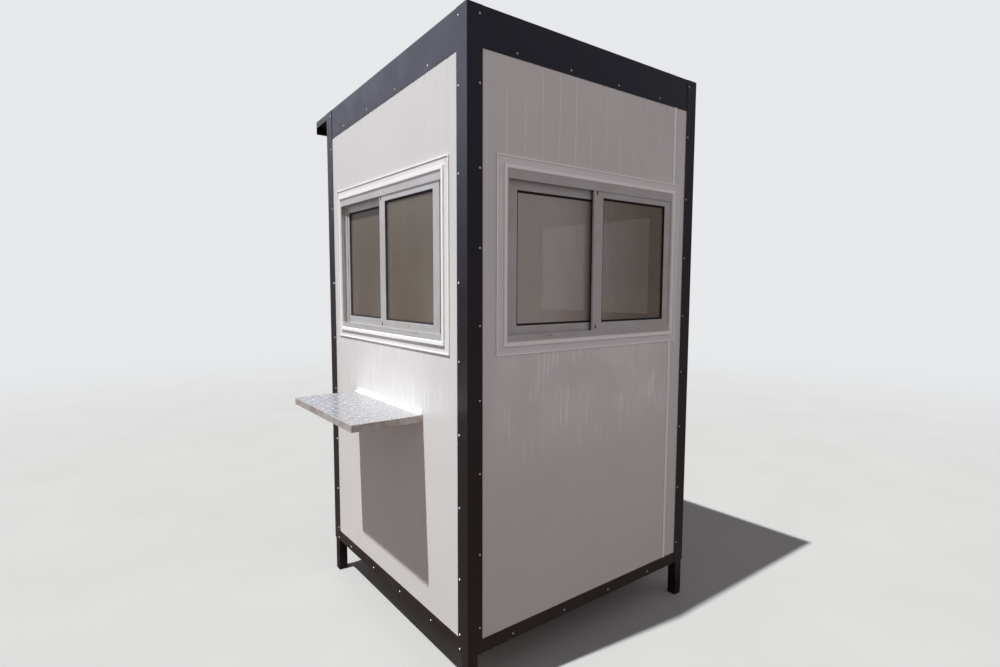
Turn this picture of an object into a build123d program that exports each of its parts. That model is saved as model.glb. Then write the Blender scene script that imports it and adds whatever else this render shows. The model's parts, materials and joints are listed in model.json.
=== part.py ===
from build123d import *
import os

# A one-person guard booth: a square cabin on four short legs, with a lean-to roof.
# X runs to the right as seen from the counter, Y runs to the back and Z is up.
# All sizes are in millimetres.

# Overall form
plan_size = 1200.0          # outside of the corner flashings, both ways
high_side_height = 2310.0   # ground to roof edge on the right
roof_drop = 69.4            # fall of the roof edge from the right corner to the left one
leg_height = 160.0          # ground to the underside of the cabin
eave_reach = 141.0          # roof overhang past the left wall

# Steel frame and folded sheet
tube_size = 40.0
tube_wall = 2.0
foot_plate = 3.0            # plate that closes the bottom of each leg
sheet = 1.5                 # thickness of every folded trim
fit_gap = 0.5               # clearance beside a piece that is slipped into place
flashing_width = 61.0       # each flange of a corner flashing
fascia_depth = 130.0
fascia_lap = 40.0           # flange of the fascia that lies on the roof
bottom_trim_height = 50.0
bottom_trim_return = 30.0   # flange that turns in under the base
eave_tab_depth = 28.0       # fascia left over at the ends of the overhang
eave_lip_depth = 59.0
eave_hem = 12.0             # return along the lower edge of the lip

# Roof, walls and floor
wall_thickness = 40.0
roof_core = 40.0
roof_sheet = 3.0            # ribbed sheet where it runs out over the eave
rib_count = 5
rib_height = 22.0
rib_crown = 24.0
rib_base = 54.0
floor_thickness = 18.0
joist_count = 4
joint_from_corner = 140.0   # joint in the right wall, from the back corner
joint_strip_width = 14.0
joint_strip_proud = 3.5
groove_pitch = 77.0         # shallow grooves rolled into the walls' outer skin
groove_start = 40.0         # post to the nearest groove
groove_width = 5.0
groove_depth = 1.0

# Sliding windows, one size on the front, the right and the back
window_from_corner = 153.0  # corner of the booth to the side of the window frame
right_window_shift = 7.0    # right window, off the middle towards the back
window_height = 588.0
window_sill = 1233.0        # ground to the underside of the window frame
frame_proud = 4.0           # frame standing out from the wall
frame_skin = 2.5            # thickness of the frame's outer wall and lips
head_lip = 33.0             # outer lip of the frame, in front of the sashes
sill_lip = 26.0
jamb_lip = 8.0
track_guide = 2.0           # rib between the two tracks, and its height on each side
head_guide = 32.0
sill_guide = 24.0
jamb_guide = 31.0
track_gap = 0.8             # clearance on each side of a sash in its track
sash_rest_gap = 0.3         # running gap under and beside a sash
lift_gap = 3.0              # room over a sash, to lift it out
sash_thickness = 15.0
sash_bevel = 1.2
sash_overlap = 52.0
side_stile = 44.5
inner_meeting_stile = 44.0
outer_meeting_stile = 50.0
bottom_rail = 53.0
outer_top_rail = 51.5
inner_top_rail = 59.5
pane_thickness = 5.0
pane_setback = 7.0          # front of the sash to the glass
pane_bite = 8.0             # glass held inside the sash profile
pane_gap = 0.3
weep_slot_length = 14.0     # drain slots in the outer lip of the sill
weep_slot_height = 4.0
weep_slot_rise = 17.0       # underside of the frame to the middle of a slot
weep_slot_spacing = 500.0
# How far the inner and the outer sash stand open
window_slides = {"front": (0.0, 18.0), "right": (14.0, 0.0), "back": (0.0, 0.0)}
latch_height = 1512.0       # ground to the middle of the pull on the inner sash
latch_inset = 18.0          # edge of the sash to the middle of the pull
latch_plate = (18.0, 112.0, 3.0)
latch_bow = (98.0, 24.0)    # length and reach of the bow
latch_bow_band = 7.0
latch_bow_width = 8.0

# Folded trim round each window, lapping the wall
trim_flange = 42.0
trim_sheet = 2.0
trim_lip = 11.0             # width of the raised lip round the frame
trim_lip_proud = 8.0
trim_bead = 4.5

# Door in the left wall, below the eave
door_frame_width = 780.0
door_lintel = 45.0          # wall left over the door frame
door_frame_face = 40.0
door_frame_proud = 6.0      # frame and leaf standing out from the wall
door_stop = 14.0
threshold_height = 25.0
door_gap = 4.0              # running gap round the leaf
leaf_thickness = 34.0
leaf_edge_face = 30.0       # metal edging round the leaf
leaf_edge_skin = 2.0
leaf_panel_bite = 16.0
hinge_count = 3
hinge_length = 90.0
hinge_leaf_width = 24.0
hinge_leaf_thickness = 2.5
hinge_barrel_radius = 7.0
hinge_end_distance = 170.0  # end of the leaf to the centre of its nearest hinge
handle_height = 1210.0      # ground to the lever
handle_backset = 60.0       # edge of the leaf to the lever's spindle
handle_plate = (38.0, 190.0, 4.0)
handle_spindle_radius = 5.0
handle_neck_radius = 9.0
handle_neck_length = 36.0
handle_lever = (118.0, 18.0, 12.0)

# Counter shelf under the front window
shelf_width = 600.0
shelf_reach = 278.0
shelf_top = 952.0           # ground to the top of the shelf
shelf_plate = 3.0
shelf_fold = 27.0
shelf_bend_radius = 2.5
upstand_height = 16.0
upstand_foot = 14.0
upstand_sheet = 2.0

# Places that follow from the sizes above
half = plan_size / 2
cover_face = half - sheet          # outside of fascias and bottom trims
wall_face = cover_face - sheet     # outside of posts and walls
post_inside = wall_face - tube_size
wall_inside = wall_face - wall_thickness
base_bottom = leg_height + sheet
base_top = base_bottom + tube_size
roof_valley = sheet + rib_height   # depths below the roof line
roof_underside = roof_valley + roof_core
wall_top = roof_underside + tube_size
roof_fall = roof_drop / plan_size
eave_face = half + eave_reach
window_width = plan_size - 2 * window_from_corner
cut_margin = plan_size             # cutting bodies reach this far past the booth

frame_back = -wall_thickness
outer_sash_back = frame_proud - frame_skin - track_gap - sash_thickness
guide_back = outer_sash_back - track_gap - track_guide
inner_sash_back = guide_back - track_gap - sash_thickness
inner_lip_back = inner_sash_back - track_gap - frame_skin

# The origin lies on the ground, under the middle of the booth's overall box
middle_x = (wall_face + trim_lip_proud - eave_face) / 2
middle_y = (wall_face + trim_lip_proud - (wall_face + shelf_reach)) / 2

# Faces of the cabin, each with its local X to the right as seen from outside and Z outwards
front_face = Plane(origin=(0, -wall_face, 0), x_dir=(1, 0, 0), z_dir=(0, -1, 0))
right_face = Plane(origin=(wall_face, 0, 0), x_dir=(0, 1, 0), z_dir=(1, 0, 0))
back_face = Plane(origin=(0, wall_face, 0), x_dir=(-1, 0, 0), z_dir=(0, 1, 0))
left_face = Plane(origin=(-wall_face, 0, 0), x_dir=(0, -1, 0), z_dir=(-1, 0, 0))
right_window_face = Plane(origin=(wall_face, right_window_shift, 0), x_dir=(0, 1, 0), z_dir=(1, 0, 0))


def block(x, y, z):
    """A box between pairs of coordinates."""
    size = [abs(b - a) for a, b in (x, y, z)]
    return Pos((x[0] + x[1]) / 2, (y[0] + y[1]) / 2, (z[0] + z[1]) / 2) * Box(*size)


def roof_line(x):
    """Height of the roof's top edge at a place across the booth."""
    return high_side_height - (half - x) * roof_fall


def plate_across(points, y):
    """A plate from an outline of X and Z points, between two Y coordinates."""
    plane = Plane(origin=(0, y[0], 0), x_dir=(1, 0, 0), z_dir=(0, -1, 0))
    return extrude(plane * Polygon(*points, align=None), amount=y[0] - y[1])


def sloped_bar(x, y, drops):
    """A bar along Y or X whose top and bottom lie at two depths below the roof line."""
    top, bottom = drops
    outline = [(x[0], roof_line(x[0]) - bottom), (x[1], roof_line(x[1]) - bottom),
               (x[1], roof_line(x[1]) - top), (x[0], roof_line(x[0]) - top)]
    return plate_across(outline, y)


def down_slope(outline, x):
    """A section of Y and depth points, run parallel to the roof between two X coordinates."""
    start, end = x
    plane = Plane(origin=(start, 0, roof_line(start)), x_dir=(0, 1, 0), z_dir=(1, 0, 0))
    way = Vector(end - start, 0, roof_line(end) - roof_line(start))
    points = [(y, -drop) for y, drop in outline]
    return extrude(plane * Polygon(*points, align=None), amount=way.length, dir=way.normalized())


def under_roof(solid, drop):
    """What is left of a solid below a depth under the roof line."""
    low, high = -half - cut_margin, half + cut_margin
    outline = [(low, roof_line(low) - drop), (high, roof_line(high) - drop),
               (high, high_side_height + cut_margin), (low, high_side_height + cut_margin)]
    return solid - plate_across(outline, (low, high))


def rect(u0, u1, v0, v1, inset=0.0):
    """Limits of an upright rectangle on a face, drawn in by an inset."""
    return (u0 + inset, u1 - inset, v0 + inset, v1 - inset)


def ring(outer, inner, z):
    """A rectangular ring between two rectangles."""
    u0, u1, v0, v1 = outer
    a0, a1, b0, b1 = inner
    return block((u0, u1), (v0, v1), z) - block((a0, a1), (b0, b1), z)


def slab(limits, z):
    """A plain rectangular plate on a face."""
    u0, u1, v0, v1 = limits
    return block((u0, u1), (v0, v1), z)


# Frame of square tube

def corner_post(side, end):
    x = (side * post_inside, side * wall_face)
    y = (end * post_inside, end * wall_face)
    x_hole = (side * (post_inside + tube_wall), side * (wall_face - tube_wall))
    y_hole = (end * (post_inside + tube_wall), end * (wall_face - tube_wall))
    post = block(x, y, (0, high_side_height)) - block(x_hole, y_hole, (foot_plate, high_side_height))
    return under_roof(post, roof_underside)


def level_tube(x, y, along):
    """A tube of the base; along names the axis that its bore follows."""
    z = (base_bottom, base_top)
    sides = [(low + tube_wall, high - tube_wall) for low, high in (x, y, z)]
    sides["XY".index(along)] = (x, y)["XY".index(along)]
    return block(x, y, z) - block(*sides)


def base_cross_tubes():
    x = (-post_inside, post_inside)
    front = level_tube(x, (-wall_face, -post_inside), "X")
    back = level_tube(x, (post_inside, wall_face), "X")
    return [front, back]


def base_side_tubes():
    y = (-post_inside, post_inside)
    left = level_tube((-wall_face, -post_inside), y, "Y")
    right = level_tube((post_inside, wall_face), y, "Y")
    return [left, right]


def floor_joists():
    first = -post_inside + tube_size / 2
    pitch = -2 * first / (joist_count - 1)
    y = (-post_inside, post_inside)
    joists = []
    for number in range(joist_count):
        centre = first + number * pitch
        joists.append(level_tube((centre - tube_size / 2, centre + tube_size / 2), y, "Y"))
    return joists


def top_sloped_tubes():
    x = (-post_inside, post_inside)
    bore = (roof_underside + tube_wall, wall_top - tube_wall)
    tubes = []
    for y in ((-wall_face, -post_inside), (post_inside, wall_face)):
        solid = sloped_bar(x, y, (roof_underside, wall_top))
        tubes.append(solid - sloped_bar(x, (y[0] + tube_wall, y[1] - tube_wall), bore))
    return tubes


def top_level_tubes():
    y = (-post_inside, post_inside)
    bore = (roof_underside + tube_wall, wall_top - tube_wall)
    tubes = []
    for x in ((-wall_face, -post_inside), (post_inside, wall_face)):
        solid = sloped_bar(x, y, (roof_underside, wall_top))
        tubes.append(solid - sloped_bar((x[0] + tube_wall, x[1] - tube_wall), y, bore))
    return tubes


# Folded sheet round the edges

def corner_flashing(side, end):
    z = (leg_height, high_side_height)
    edge = half - flashing_width
    across = block((side * edge, side * half), (end * cover_face, end * half), z)
    along = block((side * cover_face, side * half), (end * edge, end * cover_face), z)
    if side < 0:
        along = under_roof(along, eave_tab_depth + fit_gap)
    return under_roof(across + along, 0)


def fascia_section(end, depth):
    outside, inside = end * cover_face, end * wall_face
    flange_edge = end * (cover_face - fascia_lap)
    return [(outside, 0), (flange_edge, 0), (flange_edge, sheet), (inside, sheet),
            (inside, depth), (outside, depth)]


def end_fascia(end):
    """Fascia on the front or the back, with the shallow tab that closes the overhang."""
    full = down_slope(fascia_section(end, fascia_depth), (wall_face, -cover_face))
    tab = down_slope(fascia_section(end, eave_tab_depth), (-cover_face, sheet - eave_face))
    return full + tab


def high_fascia():
    flange_y = cover_face - fascia_lap
    face = sloped_bar((wall_face, cover_face), (-cover_face, cover_face), (0, fascia_depth))
    flange = sloped_bar((cover_face - fascia_lap, wall_face), (-flange_y, flange_y), (0, sheet))
    return face + flange


def low_fascia():
    top = roof_valley + roof_sheet
    return sloped_bar((-cover_face, -wall_face), (-wall_face, wall_face), (top, fascia_depth))


def eave_flashing():
    inside = sheet - eave_face
    flange_y = cover_face - fascia_lap
    lip = sloped_bar((-eave_face, inside), (-cover_face, cover_face), (0, eave_lip_depth))
    flange = sloped_bar((inside, inside + fascia_lap), (-flange_y, flange_y), (0, sheet))
    hem = sloped_bar((inside, inside + eave_hem), (-cover_face, cover_face),
                     (eave_lip_depth - sheet, eave_lip_depth))
    return lip + flange + hem


def bottom_trims():
    z = (leg_height, leg_height + bottom_trim_height)
    floor_z = (leg_height, base_bottom)
    face_end = wall_face - fit_gap
    return_end = post_inside - fit_gap
    return_edge = cover_face - bottom_trim_return
    trims = []
    for sign in (-1, 1):
        skin = (sign * wall_face, sign * cover_face)
        turn = (sign * return_edge, sign * cover_face)
        trims.append(block((-face_end, face_end), skin, z) + block((-return_end, return_end), turn, floor_z))
        trims.append(block(skin, (-face_end, face_end), z) + block(turn, (-return_end, return_end), floor_z))
    door_notch = block((-half, -wall_face), (-door_frame_width / 2 - fit_gap, door_frame_width / 2 + fit_gap),
                       (base_top, high_side_height))
    return [trim - door_notch for trim in trims]


# Roof, floor and wall panels

def roof_section():
    """Ribbed sheet as Y and depth points: the top from front to back, then the underside."""
    pitch = (2 * wall_face - rib_base) / (rib_count - 1)
    points = []
    for number in range(rib_count):
        centre = -wall_face + rib_base / 2 + number * pitch
        points += [(centre - rib_base / 2, roof_valley), (centre - rib_crown / 2, sheet),
                   (centre + rib_crown / 2, sheet), (centre + rib_base / 2, roof_valley)]
    underside = roof_valley + roof_sheet
    return points + [(wall_face, underside), (-wall_face, underside)]


def roof_panel():
    ribbed = down_slope(roof_section(), (wall_face, sheet - eave_face))
    core = sloped_bar((-wall_face, wall_face), (-wall_face, wall_face), (roof_valley, roof_underside))
    return ribbed + core


def floor_deck():
    edge = wall_inside - fit_gap
    return block((-edge, edge), (-edge, edge), (base_top, base_top + floor_thickness))


def window_hole():
    limits = rect(-window_width / 2, window_width / 2, window_sill, window_sill + window_height, -fit_gap)
    return slab(limits, (-cut_margin / 2, cut_margin / 2))


def skin_grooves():
    """Cutters for the upright V grooves in the outer skin of one wall."""
    outline = [(-groove_width / 2, 0), (0, -groove_depth), (groove_width / 2, 0),
               (groove_width / 2, groove_depth), (-groove_width / 2, groove_depth)]
    cutters = []
    place = groove_start - post_inside
    while place < post_inside:
        plane = Plane(origin=(place, 0, 0), x_dir=(1, 0, 0), z_dir=(0, -1, 0))
        cutters.append(extrude(plane * Polygon(*outline, align=None), amount=-high_side_height))
        place += groove_pitch
    return cutters


def end_wall(end, face):
    y = sorted((end * wall_inside, end * wall_face))
    panel = block((-post_inside, post_inside), y, (base_top, high_side_height))
    panel = under_roof(panel, wall_top) - face * window_hole()
    return panel - [face * cutter for cutter in skin_grooves()]


def side_panel(side, y, bottom=base_top):
    """A piece of the right or left wall between two Y coordinates."""
    x = sorted((side * wall_inside, side * wall_face))
    face = right_face if side > 0 else left_face
    panel = under_roof(block(x, y, (bottom, high_side_height)), wall_top)
    return panel - [face * cutter for cutter in skin_grooves()]


joint_y = half - joint_from_corner


def right_wall_panel():
    panel = side_panel(1, (-post_inside, joint_y - fit_gap))
    return panel - right_window_face * window_hole()


def right_wall_filler():
    return side_panel(1, (joint_y + fit_gap, post_inside))


def joint_strips():
    """The strip over the joint, above and below the window trim."""
    x = (wall_face, wall_face + joint_strip_proud)
    y = (joint_y - joint_strip_width / 2, joint_y + joint_strip_width / 2)
    trim_bottom = window_sill - trim_flange
    trim_top = window_sill + window_height + trim_flange
    fascia_bottom = high_side_height - fascia_depth
    spans = ((leg_height + bottom_trim_height, trim_bottom), (trim_top, fascia_bottom))
    return [chamfered_strip(x, y, (low + fit_gap, high - fit_gap)) for low, high in spans]


def chamfered_strip(x, y, z):
    strip = block(x, y, z)
    edges = strip.faces().sort_by(Axis.X)[-1].edges().filter_by(Axis.Z)
    return chamfer(edges, joint_strip_proud / 2)


door_head = roof_line(-wall_face) - wall_top - door_lintel - fit_gap


def left_wall_beside(end):
    y = sorted((end * (door_frame_width / 2 + fit_gap), end * post_inside))
    return side_panel(-1, y)


def left_wall_over_door():
    y = (-door_frame_width / 2, door_frame_width / 2)
    return side_panel(-1, y, door_head + fit_gap)


# Windows, drawn on a face: X to the right, Y up from the ground, Z out from the wall

window_limits = rect(-window_width / 2, window_width / 2, window_sill, window_sill + window_height)


def frame_opening(head, sill, jamb):
    """What a lip or guide of the frame leaves open."""
    u0, u1, v0, v1 = window_limits
    return (u0 + jamb, u1 - jamb, v0 + sill, v1 - head)


def window_frame():
    guided = frame_opening(head_guide, sill_guide, jamb_guide)
    front = (frame_proud - frame_skin, frame_proud)
    shell = ring(window_limits, rect(*window_limits, frame_skin), (frame_back, frame_proud))
    front_lip = ring(window_limits, frame_opening(head_lip, sill_lip, jamb_lip), front)
    guide = ring(window_limits, guided, (guide_back, guide_back + track_guide))
    inner_lip = ring(window_limits, guided, (inner_lip_back, inner_lip_back + frame_skin))
    slot = block((-weep_slot_length / 2, weep_slot_length / 2),
                 (-weep_slot_height / 2, weep_slot_height / 2), front)
    slots = [Pos(side * weep_slot_spacing / 2, window_sill + weep_slot_rise, 0) * slot for side in (-1, 1)]
    return shell + front_lip + guide + inner_lip - slots


def sash_places(slides):
    """Outer limits, glass opening and back face of the inner and the outer sash."""
    u0, u1, v0, v1 = window_limits
    seat = frame_skin + sash_rest_gap
    width = (u1 - u0 + sash_overlap) / 2 - seat
    inner_start, outer_end = u0 + seat + slides[0], u1 - seat - slides[1]
    bottom, top = v0 + seat, v1 - frame_skin - lift_gap
    inner = (inner_start, inner_start + width, bottom, top)
    outer = (outer_end - width, outer_end, bottom, top)
    inner_glass = (inner[0] + side_stile, inner[1] - inner_meeting_stile,
                   bottom + bottom_rail, top - inner_top_rail)
    outer_glass = (outer[0] + outer_meeting_stile, outer[1] - side_stile,
                   bottom + bottom_rail, top - outer_top_rail)
    return [(inner, inner_glass, inner_sash_back), (outer, outer_glass, outer_sash_back)]


def pane_depth(back):
    front = back + sash_thickness - pane_setback
    return (front - pane_thickness, front)


def window_sashes(slides):
    sashes = []
    for outside, glass, back in sash_places(slides):
        low, high = pane_depth(back)
        groove = slab(rect(*glass, -pane_bite - pane_gap), (low - pane_gap, high + pane_gap))
        sash = ring(outside, glass, (back, back + sash_thickness))
        front = sash.faces().sort_by(Axis.Z)[-1]
        sashes.append(chamfer(front.edges(), sash_bevel) - groove)
    return sashes


def window_panes(slides):
    return [slab(rect(*glass, -pane_bite), pane_depth(back)) for outside, glass, back in sash_places(slides)]


def window_latch(slides):
    """A plate with a bowed pull, on the room side of the inner sash's meeting stile."""
    outside = sash_places(slides)[0][0]
    width, height, thickness = latch_plate
    length, reach = latch_bow
    plate = Box(width, height, thickness, align=(Align.CENTER, Align.CENTER, Align.MAX))
    bow = Ellipse(length / 2, reach) - Ellipse(length / 2 - latch_bow_band, reach - latch_bow_band)
    bow = extrude(Plane.YZ * bow, amount=latch_bow_width / 2, both=True)
    bow = split(bow, bisect_by=Plane.XY, keep=Keep.BOTTOM)
    place = Pos(outside[1] - latch_inset, latch_height, inner_sash_back)
    return place * (fillet(plate.edges().filter_by(Axis.Z), width / 4) + bow)


def window_trim():
    """A flat band with a raised lip next to the frame and a small bead round its outer edge."""
    inside = rect(*window_limits, -fit_gap)
    outside = rect(*window_limits, -trim_flange)
    band = ring(outside, inside, (0, trim_sheet))
    lip = ring(rect(*inside, -trim_lip), inside, (0, trim_lip_proud))
    bead = ring(outside, rect(*outside, trim_bead), (0, trim_bead))
    return band + lip + bead


# Door, drawn on the left face in the same way

door_limits = (-door_frame_width / 2, door_frame_width / 2, base_top, door_head)
leaf_back = door_frame_proud - leaf_thickness


def door_opening():
    u0, u1, v0, v1 = door_limits
    return (u0 + door_frame_face, u1 - door_frame_face, v0 + threshold_height, v1 - door_frame_face)


def leaf_limits():
    return rect(*door_opening(), door_gap)


def door_frame():
    opening = door_opening()
    stop = rect(*opening, door_stop)
    surround = ring(door_limits, opening, (frame_back, door_frame_proud))
    return surround + ring(opening, stop, (frame_back, leaf_back - fit_gap))


def leaf_panel_depth():
    return (leaf_back + leaf_edge_skin, door_frame_proud - leaf_edge_skin)


def door_leaf_edging():
    inside = rect(*leaf_limits(), leaf_edge_face)
    groove = slab(rect(*inside, -leaf_panel_bite), leaf_panel_depth())
    return ring(leaf_limits(), inside, (leaf_back, door_frame_proud)) - groove


def handle_place():
    return leaf_limits()[0] + handle_backset


def door_leaf_panel():
    limits = rect(*leaf_limits(), leaf_edge_face - leaf_panel_bite)
    low, high = leaf_panel_depth()
    hole = Cylinder(handle_spindle_radius + fit_gap, high - low)
    return slab(limits, (low, high)) - Pos(handle_place(), handle_height, (low + high) / 2) * hole


def handle_side(start, way):
    """Plate, neck and lever on one side of the leaf."""
    width, height, thickness = handle_plate
    lever_length, lever_height, lever_depth = handle_lever
    plate = Box(width, height, thickness, align=(Align.CENTER, Align.CENTER, Align.MIN))
    plate = fillet(plate.edges().filter_by(Axis.Z), width / 4)
    neck = Cylinder(handle_neck_radius, handle_neck_length, align=(Align.CENTER, Align.CENTER, Align.MIN))
    lever = Box(lever_length, lever_height, lever_depth, align=(Align.MIN, Align.CENTER, Align.MAX))
    lever = fillet(lever.edges(), lever_depth / 3)
    lever = Pos(-handle_neck_radius, 0, handle_neck_length) * lever
    side = plate + neck + lever
    if way < 0:
        side = mirror(side, about=Plane.XY)
    return Pos(handle_place(), handle_height, start) * side


def door_handle():
    low, high = leaf_panel_depth()
    spindle = Pos(handle_place(), handle_height, (low + high) / 2) * Cylinder(handle_spindle_radius, high - low)
    return handle_side(high, 1) + handle_side(low, -1) + spindle


def door_hinges():
    u0, u1, v0, v1 = leaf_limits()
    seam = u1 + door_gap / 2
    first = v0 + hinge_end_distance
    pitch = (v1 - v0 - 2 * hinge_end_distance) / (hinge_count - 1)
    plates_z = (door_frame_proud, door_frame_proud + hinge_leaf_thickness)
    hinges = []
    for number in range(hinge_count):
        centre = first + number * pitch
        v = (centre - hinge_length / 2, centre + hinge_length / 2)
        plates = block((seam - hinge_leaf_width, seam + hinge_leaf_width), v, plates_z)
        barrel = Rot(90, 0, 0) * Cylinder(hinge_barrel_radius, hinge_length)
        hinges.append(plates + Pos(seam, centre, door_frame_proud + hinge_barrel_radius) * barrel)
    return hinges


# Counter shelf, drawn on the front face

def counter_shelf():
    """A tray folded down on all four sides and open below."""
    u = shelf_width / 2
    top = (shelf_top - shelf_fold, shelf_top)
    tray = block((-u, u), top, (0, shelf_reach))
    tray = fillet(tray.faces().sort_by(Axis.Y)[-1].edges(), shelf_bend_radius)
    hollow = block((shelf_plate - u, u - shelf_plate), (top[0], shelf_top - shelf_plate),
                   (shelf_plate, shelf_reach - shelf_plate))
    return tray - hollow


def shelf_upstand():
    u = shelf_width / 2 - shelf_bend_radius
    leg = block((-u, u), (shelf_top, shelf_top + upstand_height), (0, upstand_sheet))
    foot = block((-u, u), (shelf_top, shelf_top + upstand_sheet), (0, upstand_foot))
    return leg + foot


def all_pieces():
    corners = {"front_right": (1, -1), "front_left": (-1, -1), "back_right": (1, 1), "back_left": (-1, 1)}
    pieces = {}
    for name, (side, end) in corners.items():
        pieces["corner_post_" + name] = [corner_post(side, end)]
        pieces["corner_flashing_" + name] = [corner_flashing(side, end)]
    pieces["base_cross_tubes"] = base_cross_tubes()
    pieces["base_side_tubes"] = base_side_tubes()
    pieces["floor_joists"] = floor_joists()
    pieces["floor_deck"] = [floor_deck()]
    pieces["bottom_trims"] = bottom_trims()
    pieces["top_sloped_tubes"] = top_sloped_tubes()
    pieces["top_level_tubes"] = top_level_tubes()
    pieces["fascia_front"] = [end_fascia(-1)]
    pieces["fascia_back"] = [end_fascia(1)]
    pieces["fascia_right"] = [high_fascia()]
    pieces["fascia_left"] = [low_fascia()]
    pieces["eave_flashing"] = [eave_flashing()]
    pieces["roof_panel"] = [roof_panel()]
    pieces["front_wall"] = [end_wall(-1, front_face)]
    pieces["back_wall"] = [end_wall(1, back_face)]
    pieces["right_wall_panel"] = [right_wall_panel()]
    pieces["right_wall_filler"] = [right_wall_filler()]
    pieces["right_wall_joint_strip"] = joint_strips()
    pieces["left_wall_front"] = [left_wall_beside(-1)]
    pieces["left_wall_back"] = [left_wall_beside(1)]
    pieces["left_wall_over_door"] = [left_wall_over_door()]
    pieces["window_latches"] = []
    for name, face in (("front", front_face), ("right", right_window_face), ("back", back_face)):
        slides = window_slides[name]
        pieces[name + "_window_frame"] = [face * window_frame()]
        pieces[name + "_window_sashes"] = [face * sash for sash in window_sashes(slides)]
        pieces[name + "_window_panes"] = [face * pane for pane in window_panes(slides)]
        pieces[name + "_window_trim"] = [face * window_trim()]
        pieces["window_latches"].append(face * window_latch(slides))
    pieces["door_frame"] = [left_face * door_frame()]
    pieces["door_leaf_edging"] = [left_face * door_leaf_edging()]
    pieces["door_leaf_panel"] = [left_face * door_leaf_panel()]
    pieces["door_handle"] = [left_face * door_handle()]
    pieces["door_hinges"] = [left_face * hinge for hinge in door_hinges()]
    pieces["counter_shelf"] = [front_face * counter_shelf()]
    pieces["shelf_upstand"] = [front_face * shelf_upstand()]
    return pieces


def write_pieces():
    os.makedirs("parts", exist_ok=True)
    for name, solids in all_pieces().items():
        placed = [Pos(-middle_x, -middle_y, 0) * solid for solid in solids]
        shape = placed[0] if len(placed) == 1 else Compound(children=placed)
        export_step(shape, "parts/" + name + ".step")


write_pieces()
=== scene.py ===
import bmesh
import bpy
import json
import math
from mathutils import Matrix, Vector


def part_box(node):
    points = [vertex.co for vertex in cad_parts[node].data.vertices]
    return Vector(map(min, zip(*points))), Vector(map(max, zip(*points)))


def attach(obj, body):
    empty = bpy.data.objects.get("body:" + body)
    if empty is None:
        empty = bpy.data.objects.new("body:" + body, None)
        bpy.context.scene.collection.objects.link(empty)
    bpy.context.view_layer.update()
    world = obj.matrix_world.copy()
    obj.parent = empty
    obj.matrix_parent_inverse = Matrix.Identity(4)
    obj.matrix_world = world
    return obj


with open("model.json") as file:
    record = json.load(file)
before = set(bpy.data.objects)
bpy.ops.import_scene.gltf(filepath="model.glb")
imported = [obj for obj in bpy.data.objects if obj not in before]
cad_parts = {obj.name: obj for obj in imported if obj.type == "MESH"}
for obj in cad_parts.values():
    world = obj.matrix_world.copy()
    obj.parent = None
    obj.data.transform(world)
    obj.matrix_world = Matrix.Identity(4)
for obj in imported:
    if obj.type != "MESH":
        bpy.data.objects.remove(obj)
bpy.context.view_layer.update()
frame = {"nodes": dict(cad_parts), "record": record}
nodes = frame["nodes"]
print("frame in:", len(nodes), "parts")


# Places on the cabin, read off the corner flashings

nearLow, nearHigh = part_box("corner_flashing_front_right")
leftLow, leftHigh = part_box("corner_flashing_front_left")
rightX, leftX = nearHigh.x, leftLow.x
frontY, backY = nearLow.y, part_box("corner_flashing_back_right")[1].y
highZ, lowZ = nearHigh.z, leftHigh.z      # the roof line on the high side and on the low side
cabinZ = nearLow.z                        # underside of the cabin
halfPlan = (rightX - leftX) / 2
middle = Vector(((rightX + leftX) / 2, (frontY + backY) / 2, 0))
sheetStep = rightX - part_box("fascia_right")[1].x      # one thickness of folded sheet
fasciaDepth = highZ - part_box("fascia_right")[0].z
roofFall = (highZ - lowZ) / (rightX - leftX)
up = Vector((0, 0, 1))

# each face: middle of it on the ground, its right as seen from outside, and its way out
faces = {
    "front": (Vector((middle.x, frontY, 0)), Vector((1, 0, 0)), Vector((0, -1, 0))),
    "right": (Vector((rightX, middle.y, 0)), Vector((0, 1, 0)), Vector((1, 0, 0))),
    "back": (Vector((middle.x, backY, 0)), Vector((-1, 0, 0)), Vector((0, 1, 0))),
    "left": (Vector((leftX, middle.y, 0)), Vector((0, -1, 0)), Vector((-1, 0, 0))),
}


def facePlace(face, along, height, out):
    origin, right, outward = faces[face]
    place = Matrix((right, up, outward)).transposed().to_4x4()
    place.translation = origin + right * along + up * height + outward * out
    return place


def faceBox(face, box):    # a box as (along, height, out) ranges on a face
    origin, right, outward = faces[face]
    ends = [[(corner - origin).dot(way) for way in (right, up, outward)] for corner in box]
    return [tuple(sorted(pair)) for pair in zip(*ends)]


def solidBoxes(node):    # a box for each loose solid of a part, in the same order on every run
    bm = bmesh.new()
    bm.from_mesh(nodes[node].data)
    bmesh.ops.remove_doubles(bm, verts=bm.verts, dist=1e-5)
    left, boxes = set(bm.verts), []
    while left:
        todo, solid = [left.pop()], []
        while todo:
            vert = todo.pop()
            solid.append(vert.co.copy())
            for edge in vert.link_edges:
                other = edge.other_vert(vert)
                if other in left:
                    left.remove(other)
                    todo.append(other)
        boxes.append((Vector(map(min, *solid)), Vector(map(max, *solid))))
    bm.free()
    return sorted(boxes, key=lambda box: tuple(box[0]))


def roofHeight(x):
    return highZ - (rightX - x) * roofFall


# Node helpers

def newMaterial(name):
    material = bpy.data.materials.new(name)
    material.use_nodes = True
    tree = material.node_tree
    return material, tree, tree.nodes["Principled BSDF"]


def addNode(tree, kind, **settings):
    made = tree.nodes.new(kind)
    for key, value in settings.items():
        setattr(made, key, value)
    return made


def feed(tree, socket, value):    # a number, a colour or another node's output
    if isinstance(value, bpy.types.NodeSocket):
        tree.links.new(value, socket)
    else:
        socket.default_value = value


def feedAll(tree, node, values):    # the same, by the names of the sockets
    for name, value in values.items():
        feed(tree, node.inputs[name], value)


def colour(red, green, blue):
    return (red, green, blue, 1.0)


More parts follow.
